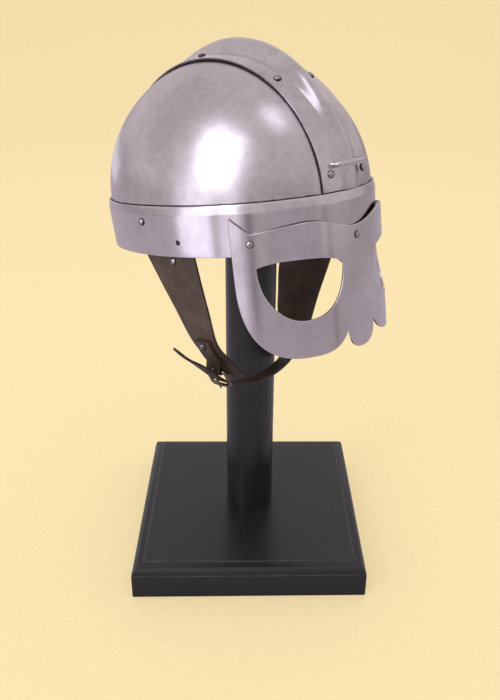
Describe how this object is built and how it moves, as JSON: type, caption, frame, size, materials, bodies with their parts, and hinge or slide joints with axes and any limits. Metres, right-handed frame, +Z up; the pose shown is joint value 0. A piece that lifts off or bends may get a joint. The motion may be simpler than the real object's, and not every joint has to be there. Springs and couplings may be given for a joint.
{
  "type": "spectacle guard helmet on a display stand",
  "caption": "Domed steel helmet with a ridged comb band, a spectacle shaped guard for eyes and nose and a buckled leather chin strap, on a black wooden display stand.",
  "frame": {"origin": "centre of the underside of the stand's square base", "axes": "+Z up; the helmet faces -Y, so the wearer's right is -X"},
  "size_m": [0.2828, 0.2828, 0.4407],
  "materials": {
    "steel": "softly polished, with fine brushing",
    "rivet_steel": "polished",
    "leather": "dark brown, worn",
    "buckle_metal": "aged",
    "black_wood": "black satin paint"
  },
  "bodies": {
    "root": {"bowl_right": "steel", "bowl_left": "steel", "comb_band": "steel", "brow_band": "steel", "spectacle_guard": "steel", "front_staple": "steel", "comb_rivet_right_1": "rivet_steel", "comb_rivet_right_2": "rivet_steel", "comb_rivet_right_3": "rivet_steel", "comb_rivet_right_4": "rivet_steel", "comb_rivet_right_5": "rivet_steel", "comb_rivet_left_1": "rivet_steel", "comb_rivet_left_2": "rivet_steel", "comb_rivet_left_3": "rivet_steel", "comb_rivet_left_4": "rivet_steel", "comb_rivet_left_5": "rivet_steel", "band_rivet_right": "rivet_steel", "band_rivet_left": "rivet_steel", "guard_rivet_right": "rivet_steel", "guard_rivet_nose": "rivet_steel", "guard_rivet_left": "rivet_steel", "strap_flush_rivet_right": "rivet_steel", "strap_flush_rivet_left": "rivet_steel", "strap_hem_rivet_right": "rivet_steel", "strap_hem_rivet_left": "rivet_steel", "chape_rivet": "rivet_steel", "join_rivet": "rivet_steel", "strap_right": "leather", "strap_left": "leather", "strap_buckled": "leather", "strap_chape": "leather", "buckle_frame": "buckle_metal", "buckle_prong": "buckle_metal", "stand_base": "black_wood", "stand_post": "black_wood", "stand_head": "black_wood"}
  },
  "joints": []
}
